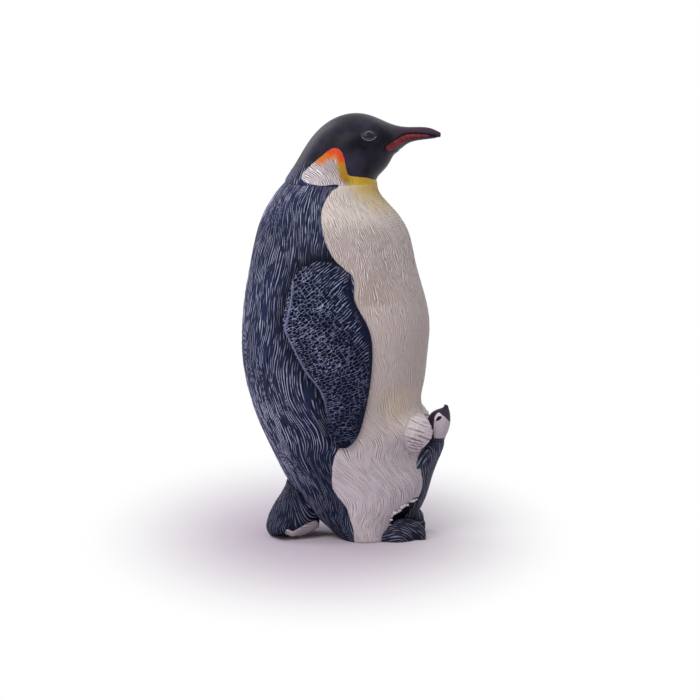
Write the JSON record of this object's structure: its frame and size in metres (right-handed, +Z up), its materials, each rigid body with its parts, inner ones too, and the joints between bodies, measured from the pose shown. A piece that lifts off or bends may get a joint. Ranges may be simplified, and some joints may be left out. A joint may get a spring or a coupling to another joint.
{
  "type": "penguin figurine",
  "caption": "Standing emperor penguin figurine with a chick on its feet, in painted solid soft plastic, as an ornament or play animal.",
  "frame": {"origin": "on the floor, under the middle of the figurine's bounding box", "axes": "+Z up, +X the way the penguin faces, +Y towards its left flipper"},
  "size_m": [0.0442, 0.0398, 0.0897],
  "materials": {
    "body_paint": "satin hand paint: cream belly, navy black back, raised feather strokes",
    "head_paint": "satin black hand paint, orange ear patches, red bill plates",
    "flipper_paint": "satin navy black with lighter dry-brushed feather rows",
    "tail_paint": "satin navy black with a pale underside",
    "foot_paint": "satin grey black with scaly toes",
    "chick_paint": "satin dark grey down strokes",
    "chick_head_paint": "satin black cap over a white face"
  },
  "bodies": {
    "root": {"torso": "body_paint", "head": "head_paint", "right_flipper": "flipper_paint", "left_flipper": "flipper_paint", "tail": "tail_paint", "right_foot": "foot_paint", "left_foot": "foot_paint", "chick_body": "chick_paint", "chick_head": "chick_head_paint"}
  },
  "joints": []
}
